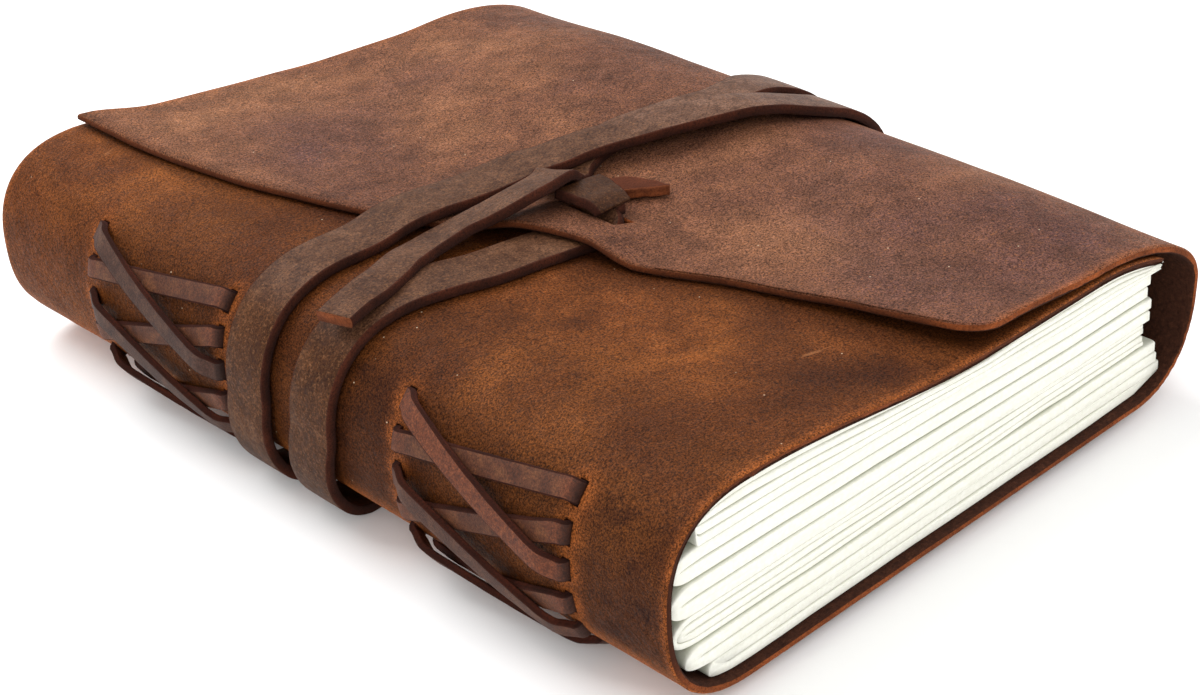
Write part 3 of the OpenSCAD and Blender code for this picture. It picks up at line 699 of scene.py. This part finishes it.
def strip(name, rings, materials, closed=False, seed=0.0, rough_edge=0.09, paint=None, crown=0.12,
          corner=0.34):
    n = len(rings)
    flat, turn = 5, 3
    points, uvs, faces, kinds = [], [], [], []
    values = {key: [] for key in (paint or {})}
    run = 0.0
    for i, (p, w, hw, ht) in enumerate(rings):
        a = rings[(i - 1) % n][0] if closed or i else p
        b = rings[(i + 1) % n][0] if closed or i < n - 1 else p
        if i:
            run += (p - rings[i - 1][0]).length
        t, w, o = across(a, p, b, w)
        r = min(corner, hw * 0.45, ht * 0.45)
        # The section: a crowned face, a rounded edge, and the same again on the other side
        profile = []
        for side in (1, -1):
            for k in range(flat):
                x = mix(hw - r, -(hw - r), k / (flat - 1)) * side
                profile.append((x, side * (ht - crown * (x / hw) ** 2 * 0.5), 0))
            bend = [math.pi / 2 * k / turn for k in range(1, turn)]
            round_off = [(hw - r + r * math.sin(g), ht - r + r * math.cos(g) - crown * 0.5) for g in bend]
            profile += [(-side * x, side * y, 1) for x, y in round_off]
            profile.append((-side * hw, side * (ht - r) * 0.45, 1))
            profile.append((-side * hw, -side * (ht - r) * 0.45, 1))
            profile += [(-side * x, -side * y, 1) for x, y in reversed(round_off)]
        per = len(profile)
        wave = 0.12 * wander(run, 0, 0, 9, seed) if hw > 2 else 0.05 * wander(run, 0, 0, 5, seed)
        for k, (x, y, kind) in enumerate(profile):
            jag = rough_edge * wander(run, x * 3, y * 5, 0.9, seed + 1) if kind else 0.0
            q = p + w * (x + math.copysign(1, x) * jag + wave * abs(x) / hw) + o * y
            points.append(q)
            uvs.append((run * MM, (x + 20 * k / per) * MM))
            for key, f in (paint or {}).items():
                values[key].append(f(run, x, y, kind, i / n, q))
    # Which faces are cut edge
    edge_kind = []
    for k in range(per):
        a, b = profile[k], profile[(k + 1) % per]
        edge_kind.append(1 if a[2] or b[2] else 0)
    for i in range(n if closed else n - 1):
        base, nxt = i * per, ((i + 1) % n) * per
        for k in range(per):
            kk = (k + 1) % per
            faces.append((base + k, base + kk, nxt + kk, nxt + k))
            kinds.append(edge_kind[k])
    if not closed:
        for base, flip in ((0, False), ((n - 1) * per, True)):
            middle = len(points)
            points.append(sum((points[base + k] for k in range(per)), Vector()) / per)
            uvs.append(uvs[base])
            for key in values:
                values[key].append(values[key][base])
            for k in range(per):
                kk = (k + 1) % per
                faces.append((middle, base + k, base + kk) if flip else (middle, base + kk, base + k))
                kinds.append(2 if len(materials) > 2 else 1)
    return new_object(name, points, faces, materials, kinds, uvs, values)


HALF_T = STRAP_T / 2
LAYER = STRAP_T + STRAP_GAP


def strap_ring(d, e, h, wide=STRAP_W / 2, lean=0.0):
    return place(d, e, h), Vector((0, 1, lean)), wide, HALF_T


def strap_d(share):
    return COVER_W * share


def strap_e(widths):
    return KNOT_E + STRAP_W * widths


def leather_top(d, e):
    if d < SPINE_DEPTH:
        return SPINE_H / 2 * (1 + (1 - min(1.0, (SPINE_DEPTH - d) / SPINE_DEPTH) ** SPINE_N) ** (1 / SPINE_N))
    return front_at(d) if d < free_at(e) else flap_at(d, e)


def under(d, e):
    reach = 0 if d > COVER_W * 0.6 else 2.5
    return max(leather_top(d + a, e + b * STRAP_W / 2)
               for a in (-reach, 0, reach) for b in (-1, -0.5, 0, 0.5, 1))


def over_top(stations):
    out = []
    for across_at, along_at, layers, half in stations:
        d, e = strap_d(across_at), strap_e(along_at)
        out.append(strap_ring(d, e, under(d, e) + STRAP_GAP + HALF_T + layers * LAYER, STRAP_W * half))
    return out


def off_table(h):
    return max(h, 0.16 - FLOOR_GAP - HALF_T)


SPINE_GAPS = [(-90, FLOOR_GAP), (-72, 2.0), (-50, 2.2), (-20, 1.2), (0, 0.6), (90, STRAP_GAP)]


def round_spine(drift):
    out = []
    for q in range(84, -85, -12):
        p = spine_at(q, HALF_T + lookup(q, SPINE_GAPS))
        out.append(strap_ring(p[0], strap_e(lookup(q, drift)), off_table(p[1])))
    return out


def under_book(a, b):
    return [strap_ring(mix(SPINE_DEPTH, COVER_W - FOLD_LOW, s), strap_e(mix(a, b, s)),
                       lift - FLOOR_GAP - HALF_T)
            for s, lift in ((0.02, 0.1), (0.3, 0.02), (0.6, 0.02), (0.98, 0.1))]


def round_fold(drift):
    out = []
    for t in (-78, -64, -50, -36, -22, -8, 6, 19, 32, 44):
        e = strap_e(lookup(t, drift))
        p = fold_at(t, HALF_T + FOLD_GAP, e)
        out.append(strap_ring(p[0], e, off_table(p[1])))
    return out


CLIMB_ANGLE, CLIMB_R = math.radians(38.0), STRAP_T * 0.9
CLIMB_MID = KNOT_D + SLIT_OPEN / 2
CLIMB_LOW = front_at(KNOT_D) + STRAP_GAP + HALF_T
CLIMB_HIGH = flap_at(KNOT_D + SLIT_OPEN, KNOT_E) + STRAP_GAP + HALF_T
CLIMB_RUN = ((CLIMB_HIGH - CLIMB_LOW - 2 * CLIMB_R * (1 - math.cos(CLIMB_ANGLE))) / math.tan(CLIMB_ANGLE)
             + 2 * CLIMB_R * math.sin(CLIMB_ANGLE))
CLIMB_END = CLIMB_MID + CLIMB_RUN / 2
NECK, NECK_E = STRAP_W * 0.37, KNOT_E + STRAP_W * 0.12


def climb():
    out = [strap_ring(CLIMB_END + HALF_T, NECK_E, CLIMB_HIGH, NECK)]
    for k in (0, 0.35, 0.7, 1):
        a = k * CLIMB_ANGLE
        out.append(strap_ring(CLIMB_END - CLIMB_R * math.sin(a), NECK_E,
                              CLIMB_HIGH - CLIMB_R * (1 - math.cos(a)), NECK))
    for k in (1, 0.7, 0.35, 0):
        a = k * CLIMB_ANGLE
        out.append(strap_ring(CLIMB_MID - CLIMB_RUN / 2 + CLIMB_R * math.sin(a), KNOT_E,
                              CLIMB_LOW + CLIMB_R * (1 - math.cos(a))))
    return out


UNDER_FLAP = [(0.375, -0.03), (0.315, -0.04), (0.24, -0.03), (0.19, 0.12)]
# Rings over the top: share of the width, place along in strap widths, layers beneath, half width
TURN_B = [(0.9, 0.32, 0, 0.48), (0.86, 0.38, 0.15, 0.46), (0.82, 0.49, 0.5, 0.42), (0.77, 0.64, 0.92, 0.405),
          (0.715, 0.91, 1, 0.405), (0.66, 1.25, 1, 0.405), (0.61, 1.55, 1, 0.405), (0.555, 1.83, 1, 0.42),
          (0.505, 1.99, 1, 0.45), (0.465, 2.12, 0.9, 0.48), (0.43, 2.2, 0.5, 0.5), (0.39, 2.25, 0.15, 0.5),
          (0.345, 2.26, 0, 0.5), (0.3, 2.26, 0, 0.5), (0.25, 2.25, 0, 0.5), (0.195, 2.23, 0, 0.5)]
TURN_A = [(0.88, 1.57, 0, 0.47), (0.835, 1.44, 0, 0.43), (0.78, 1.38, 0, 0.405), (0.735, 1.53, 0, 0.405),
          (0.69, 1.7, 0, 0.405), (0.63, 1.92, 0, 0.405), (0.57, 1.9, 0, 0.405), (0.535, 1.76, 0.06, 0.405),
          (0.51, 1.59, 0.08, 0.405)]
# The free end has the height over the spine in strap thicknesses instead of layers, and a lean
FREE_END = [(0.49, 1.41, 0.15, 0.405, -0.15), (0.466, 1.19, 1.2, 0.405, -0.25),
            (0.447, 1.03, 2, 0.41, -0.28), (0.415, 0.95, 2.1, 0.41, -0.28),
            (0.375, 0.89, 2.15, 0.41, -0.28), (0.33, 0.97, 1.65, 0.41, -0.28),
            (0.29, 1.12, 1.05, 0.39, -0.28), (0.23, 1.07, 0.93, 0.37, -0.2),
            (0.175, 0.88, 1.25, 0.365, -0.12), (0.14, 0.68, 1.4, 0.36, -0.05),
            (0.1, 0.51, 1.5, 0.37, 0), (0.062, 0.39, 1.45, 0.345, 0), (0.026, 0.26, 1.25, 0.34, 0)]
# The pointed end beside the knot, and the tongue across the strap's end
POINTED = [(0.24, 0.42, 0.23), (0.41, 0.56, 0.25), (0.59, 0.59, 0.26), (0.77, 0.51, 0.26), (0.93, 0.32, 0.24),
           (1.09, 0.07, 0.16), (1.23, -0.17, 0.04)]
TONGUE = [(0.03, 0.73, 0.54, 0), (0.03, 0.55, 0.53, 0), (0, 0.25, 0.47, 0), (-0.02, 0.01, 0.42, 0),
          (-0.03, -0.1, 0.4, -0.3), (-0.03, -0.16, 0.395, -0.65), (-0.03, -0.19, 0.395, -1)]
POINTED_LENGTH = 12.0


def build_strap():
    rings = climb()
    for s in UNDER_FLAP:
        rings.append(strap_ring(strap_d(s[0]), strap_e(s[1]), front_at(strap_d(s[0])) + STRAP_GAP + HALF_T))
    rings += round_spine([(-90, 1.12), (-60, 1.02), (-28, 0.81), (0, 0.57),
                          (30, 0.49), (60, 0.39), (90, 0.26)])
    rings += under_book(1.12, 0.3)
    rings += round_fold([(-90, 0.3), (0, 0.28), (50, 0.33)])
    rings += over_top(TURN_B)
    rings += round_spine([(-90, 2.6), (-60, 2.54), (-28, 2.43), (0, 2.28), (30, 2.23), (90, 2.23)])
    rings += under_book(2.6, 1.88)
    rings += round_fold([(-90, 1.88), (0, 1.65), (50, 1.57)])
    rings += over_top(TURN_A)
    for s in FREE_END:
        rings.append(strap_ring(strap_d(s[0]), strap_e(s[1]), SPINE_H + STRAP_T * s[2], STRAP_W * s[3], s[4]))

    def shade(run, x, y, kind, s, q):
        return 0.5 if y < 0 else 0.0

    # Painted sheen: paler towards the top of the book
    def pale(run, x, y, kind, s, q):
        return smooth((q.x - 2) / 34) * smooth((q.z - 30) / 8) + 0.35 * smooth((q.z - 36) / 4)

    looks = {"shade": shade, "pale": pale}
    band = strip("strap_band", spline(rings, 0.9), [STRAP, STRAP_EDGE, TIP_EDGE], seed=3.0, paint=looks)

    leaf = []
    for s in POINTED:
        d, e, r = CLIMB_MID + POINTED_LENGTH * s[0], KNOT_E + POINTED_LENGTH * s[1], STRAP_W * s[2]
        h = max(flap_at(d + a, e + b) for a in (-r, 0, r) for b in (-r, 0, r))
        leaf.append(strap_ring(d, e, h + STRAP_GAP + HALF_T, r))
    pointed = strip("strap_point", spline(leaf, 0.5), [TIP_FACE, TIP_EDGE], seed=8.0, rough_edge=0.25,
                    paint=looks)

    tongue_d = CLIMB_MID + STRAP_W * 0.12
    tongue_h = CLIMB_HIGH + STRAP_T - 0.1
    knot = [(place(tongue_d + STRAP_W * s[0], strap_e(s[1]), tongue_h + HALF_T * s[3]), Vector((1, 0, -0.12)),
             STRAP_W * s[2], HALF_T) for s in TONGUE]
    tongue = strip("strap_tongue", spline(knot, 0.5), [STRAP, STRAP_EDGE], seed=6.0,
                   paint={"shade": lambda *a: 0.35, "pale": lambda *a: 0.0})
    return band, tongue, pointed


# Outside runs of a lace: row at the head-side column, row at the tail-side column, on top or beneath
LACE_RUNS = [(0, 2, 1), (2, 4, 1), (4, 5, 1), (5, 3, 0), (3, 1, 0), (1, 0, 0)]
BEND_R = 0.9
OUTSIDE_H = LACE_GAP + LACE_T / 2
INSIDE_H = -LEATHER_T - LACE_GAP - LACE_T / 2


def lace_ring(q, h, e):
    p = spine_at(q, h)
    return place(p[0], e, p[1]), Vector((p[3], 0, -p[2])), LACE_W / 2, LACE_T / 2


def lace_bend(q, h, way, start, side, a):
    g = math.radians(a)
    return lace_ring(q, h - way * BEND_R * (1 - math.sin(g)), start + side * BEND_R * (1 - math.cos(g)))


def build_lace(name, tail, head, suede_run, grey_share, seed):
    rings, tags = [], []
    for number, (first, last, layer) in enumerate(LACE_RUNS):
        q, r = ROWS[first], ROWS[last]
        length = head - tail - 2 * BEND_R
        part = [lace_bend(q, OUTSIDE_H, 1, head, -1, a) for a in (0, 30, 60, 90)]
        for s in (0.07, 0.12, 0.22, 0.36, 0.5, 0.64, 0.78, 0.88, 0.93):
            h = OUTSIDE_H + layer * (LACE_T + 0.2) * smooth((min(s, 1 - s) * length - 0.4) / 3)
            part.append(lace_ring(mix(q, r, s), h, head - BEND_R - s * length))
        part += [lace_bend(r, OUTSIDE_H, 1, tail, 1, a) for a in (90, 60, 30, 0)]
        tags += [number] * len(part)
        rings += part
        part = [lace_bend(r, INSIDE_H, -1, tail, 1, a) for a in (0, 30, 60, 90)]
        part += [lace_bend(r, INSIDE_H, -1, head, -1, a) for a in (90, 60, 30, 0)]
        tags += [-1] * len(part)
        rings += part
    fine = spline(rings, 0.55, closed=True)
    # Which run each fine ring belongs to, by the nearest coarse ring
    marks = np.array([tuple(r[0]) for r in rings])
    nearest = [int(np.argmin(((marks - np.array(tuple(f[0]))) ** 2).sum(1))) for f in fine]
    near_hole = [min(abs(f[0].y + COVER_H / 2 - tail), abs(f[0].y + COVER_H / 2 - head)) for f in fine]
    count = len(fine)

    def suede(run, x, y, kind, s, q):
        i = min(count - 1, int(round(s * count)))
        tip = 0.8 * math.exp(-((near_hole[i] / 3.2) ** 2))
        return 0.95 if tags[nearest[i]] == suede_run else max(0.1, tip)

    def grey(run, x, y, kind, s, q):
        i = min(count - 1, int(round(s * count)))
        number = tags[nearest[i]]
        return grey_share if number in (0, 1, 2) and number != suede_run else 0.1 * grey_share

    def shade(run, x, y, kind, s, q):
        i = min(count - 1, int(round(s * count)))
        return 0.4 * math.exp(-((near_hole[i] / 0.6) ** 2)) + (0.5 if y < 0 else 0.0)

    return strip(name, fine, [LACE, LACE_EDGE], closed=True, seed=seed, rough_edge=0.07,
                 paint={"suede": suede, "grey": grey, "shade": shade}, crown=0.1, corner=0.25)


# Pages: gatherings of folded sheets in six signatures, with deckled edges

PAGE_CLEAR, TOP_CLEAR, PAGE_LOW, PAGE_H, PAGE_INSET = 0.4, 0.14, LEATHER_T + 0.05, 164.5, 1.2
PAGE_SHORT = 0.5
PAGE_STOPS = [27, 33, 40, 48, 57, 66, 75, 84, 92, 98, 104, 110, 114, 118]
PAGE_LINES = ([0, 0.1, 0.3, 0.8] + [3.5 * i for i in range(1, 12)]
              + [50, 70, 90, 110, 130, 140, 146, 152, 158, 162, 165])
FORE_FLAT, JOIN_START = FRONT_W - 11.5, SPINE_DEPTH * 0.63
FORE_STEPS = [2.2, -0.8, 0, -1.4, 2, 3.8]
TAIL_STEPS = [0, 0.5, 0.2, 0.6, 0.1, 0.4]
SHARES = [(0, 0.5, 1), (0, 1), (0, 1), (0, 0.45, 1), (0, 1), (0, 1)]


def page_top(d):
    return front_at(d) - LEATHER_T - TOP_CLEAR - 0.2 * max(0.0, d - FRONT_W)


def join_spine(k):
    q = ROWS[0] + 9.4 - 18.8 * k
    return SPINE_H / 2 + rounded(q, SPINE_DEPTH, SPINE_H / 2, SPINE_N, -LEATHER_T - PAGE_CLEAR)[1]


def join_at(k, d):
    if k <= 0:
        return page_top(max(d, SPINE_DEPTH))
    if k >= SIGNATURES:
        return PAGE_LOW
    fore = mix(page_top(FORE_FLAT), PAGE_LOW, k / SIGNATURES)
    return mix(join_spine(k), fore, smooth((d - JOIN_START) / (FORE_FLAT - JOIN_START)))


def inner_at(h):
    a, b = SPINE_DEPTH - LEATHER_T - PAGE_CLEAR, SPINE_H / 2 - LEATHER_T - PAGE_CLEAR
    t = min(0.999, abs(h - SPINE_H / 2) / b)
    return SPINE_DEPTH - a * (1 - t ** SPINE_N) ** (1 / SPINE_N)


def part_at(k):
    return SPINE_DEPTH if k <= 0 or k >= SIGNATURES else inner_at(join_spine(k)) + 5


def fold_inside(d, h):
    """Height of the fore-edge fold's inner face under a page that reaches d."""
    a, b = FOLD_LOW - LEATHER_T - PAGE_CLEAR, FOLD_MID - PAGE_LOW
    x = (d - (COVER_W - FOLD_LOW)) / a
    if x <= 0:
        return max(h, PAGE_LOW)
    return max(h, FOLD_MID - b * max(0.0, 1 - min(1.0, x) ** FOLD_LOW_N) ** (1 / FOLD_LOW_N))


def build_signature(k):
    upper, lower = part_at(k), part_at(k + 1)
    points, faces, shade = [], [], []
    right = FRONT_W - PAGE_SHORT + FORE_STEPS[k]
    high0, low0 = join_at(k, upper), join_at(k + 1, lower)
    mid0 = (high0 + low0) / 2
    tip0 = inner_at(mid0) + (1.6 if k == 0 else 0.3)
    shares = SHARES[k]
    sheets = len(shares) - 1
    for j in range(sheets):
        # One face of a gathering of folded sheets, inset by a share of the signature
        def side(share):
            line = []
            reach = right + 0.9 * wander(k * 7.3, j * 3.1, 0.0, 1.0, 8.0)
            stations = [reach] + [d for d in reversed(PAGE_STOPS) if d < reach - 1.5]
            for d in stations:
                if d <= upper:
                    continue
                a, b = join_at(k, d), join_at(k + 1, d)
                c = (a + b) / 2
                line.append((d, fold_inside(d, mix(a, c, share)), 1))
            tip = tip0 + share * (lower - tip0) * 0.55
            up = mix(high0, mid0, share)
            lo = mix(low0, mid0, share)
            ru, rl = upper + share * 1.5, lower + share * 1.5
            for q in range(90, 180, 10):
                g = math.radians(q)
                line.append((ru + (ru - tip) * math.cos(g), mid0 + (up - mid0) * math.sin(g), 0))
            for q in range(180, 271, 10):
                g = math.radians(q)
                line.append((rl + (rl - tip) * math.cos(g), mid0 + (mid0 - lo) * math.sin(g), 0))
            reach = right + 0.9 * wander(k * 7.3, j * 3.1, 0.0, 1.0, 17.0)
            stations = [d for d in PAGE_STOPS if d < reach - 1.5] + [reach]
            for d in stations:
                if d <= lower:
                    continue
                a, b = join_at(k, d), join_at(k + 1, d)
                c = (a + b) / 2
                line.append((d, fold_inside(d, mix(b, c, share)), -1))
            return line

        outer = side(shares[j] + (0.05 if j == 0 else 0.02))
        inner = side(shares[j + 1] - (0.02 if j < sheets - 1 else 0.03))
        n = len(outer)
        ends = PAGE_INSET + TAIL_STEPS[k], PAGE_INSET + PAGE_H - TAIL_STEPS[k]
        lines = [ends[0] + e for e in PAGE_LINES if ends[0] + e < ends[1] - 1] + [ends[1] - 0.35, ends[1]]
        base = len(points)
        for r, e in enumerate(lines):
            for face, line in ((0, outer), (1, inner)):
                for c, (d, h, leaf) in enumerate(line):
                    y = e
                    deckle = 0.12 * wander(d, j * 11.0 + leaf * 5, k * 13.0, 1.6, 0.0)
                    deckle += 0.55 * wander(d, j * 9.0 + leaf * 13, k * 5.0, 24, 2.0)
                    if r <= 3:
                        y += abs(deckle) * 1.3 * (1 - r / 4)
                    if r >= len(lines) - 2:
                        y -= abs(deckle) * 1.1
                    x = d
                    if c in (0, n - 1):
                        x += 0.5 * wander(e, j * 5.0 + leaf * 3, k * 9.0, 2.2, 1.0)
                    z = h
                    if leaf and (j > 0 or 0 < k < SIGNATURES - 1):
                        z += 0.1 * wander(d, e, j * 4.0 + k * 17.0, 16, 0.0)
                    thin = {0: 0.16, 1: 0.08, 2: 0.03, len(lines) - 1: 0.16}.get(r, 0.0)
                    if thin:
                        z = mix(z, (outer[c][1] + inner[c][1]) / 2, thin * 2)
                    points.append(place(x, y, z))
                    shade.append({0: 0.0, 1: 0.0, 2: 0.25}.get(r, 0.75) if r < len(lines) - 2 else 0.0)
        per = 2 * n
        for r in range(len(lines) - 1):
            a, b = base + r * per, base + (r + 1) * per
            for c in range(n - 1):
                faces.append((a + c, a + c + 1, b + c + 1, b + c))
                faces.append((a + n + c + 1, a + n + c, b + n + c, b + n + c + 1))
            faces.append((a + n, a, b, b + n))
            faces.append((a + n - 1, a + 2 * n - 1, b + 2 * n - 1, b + n - 1))
        a, b = base, base + (len(lines) - 1) * per
        for c in range(n - 1):
            faces.append((a + n + c, a + n + c + 1, a + c + 1, a + c))
            faces.append((b + c, b + c + 1, b + n + c + 1, b + n + c))
    return new_object("signature_%d" % (k + 1), points, faces, [PAPER], None, None, {"shade": shade})


cover = build_cover()
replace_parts(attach(cover, "root"), "leather_cover")

for piece in build_strap():
    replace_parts(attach(piece, "root"), "wrap_strap")

# The lace near the tail has one run of suede; the other has none
near_lace = build_lace("lace_near_tail", COLUMNS[0], COLUMNS[1], 0, 0.5, 11.0)
far_lace = build_lace("lace_near_head", COLUMNS[2], COLUMNS[3], None, 0.85, 23.0)
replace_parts(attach(near_lace, "root"), "lace_tail")
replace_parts(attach(far_lace, "root"), "lace_head")

for number in range(SIGNATURES):
    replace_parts(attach(build_signature(number), "root"), "page_block")

# Camera, at the photograph's angle

azimuth, elevation, roll = math.radians(-41.69), math.radians(30.78), math.radians(-3.97)
CAMERA_RANGE = 413.51
away = Vector((math.sin(azimuth) * math.cos(elevation), -math.cos(azimuth) * math.cos(elevation),
               math.sin(elevation)))
right = (-away).cross(Vector((0, 0, 1))).normalized()
up = right.cross(-away)
right_r = right * math.cos(roll) + up * math.sin(roll)
up_r = up * math.cos(roll) - right * math.sin(roll)
camera_data = bpy.data.cameras.new("camera")
camera_data.sensor_width = 36
camera_data.lens = 70.85
camera_data.clip_start = 0.01
camera_data.clip_end = 20
camera = bpy.data.objects.new("camera", camera_data)
spot = place(51.12, 67.36, 16.52) + away * CAMERA_RANGE
turn = Matrix((right_r, up_r, away)).transposed()
camera.matrix_world = Matrix.Translation(spot * MM) @ turn.to_4x4()
bpy.context.scene.collection.objects.link(camera)
bpy.context.scene.camera = camera

# Floor and soft studio light

bpy.ops.mesh.primitive_plane_add(size=6, location=(0, 0, 0))
floor = bpy.context.object
floor.name = "floor"
pale = Nodes("pale_floor")
floor.data.materials.append(pale.finish(None, None, None, Base_Color=(0.92, 0.92, 0.92, 1), Roughness=1.0))


def softbox(name, at, target, size, power):
    data = bpy.data.lights.new(name, "AREA")
    data.shape = "RECTANGLE"
    data.size, data.size_y = size
    data.energy = power
    obj = bpy.data.objects.new(name, data)
    obj.location = at
    obj.rotation_euler = (Vector(target) - Vector(at)).to_track_quat("-Z", "Y").to_euler()
    bpy.context.scene.collection.objects.link(obj)


softbox("key", (-0.1, 0.55, 0.9), (0, 0, 0.02), (0.9, 0.7), 10.5)
softbox("fill", (-0.8, -0.6, 0.55), (0, 0, 0.02), (0.8, 0.6), 3.5)
softbox("side", (0.8, -0.5, 0.5), (0, 0, 0.02), (0.6, 0.6), 3)

world = bpy.data.worlds.new("studio")
world.use_nodes = True
world.node_tree.nodes["Background"].inputs[0].default_value = (1, 1, 1, 1)
world.node_tree.nodes["Background"].inputs[1].default_value = 0.9
bpy.context.scene.world = world
bpy.context.scene.view_settings.view_transform = "Standard"
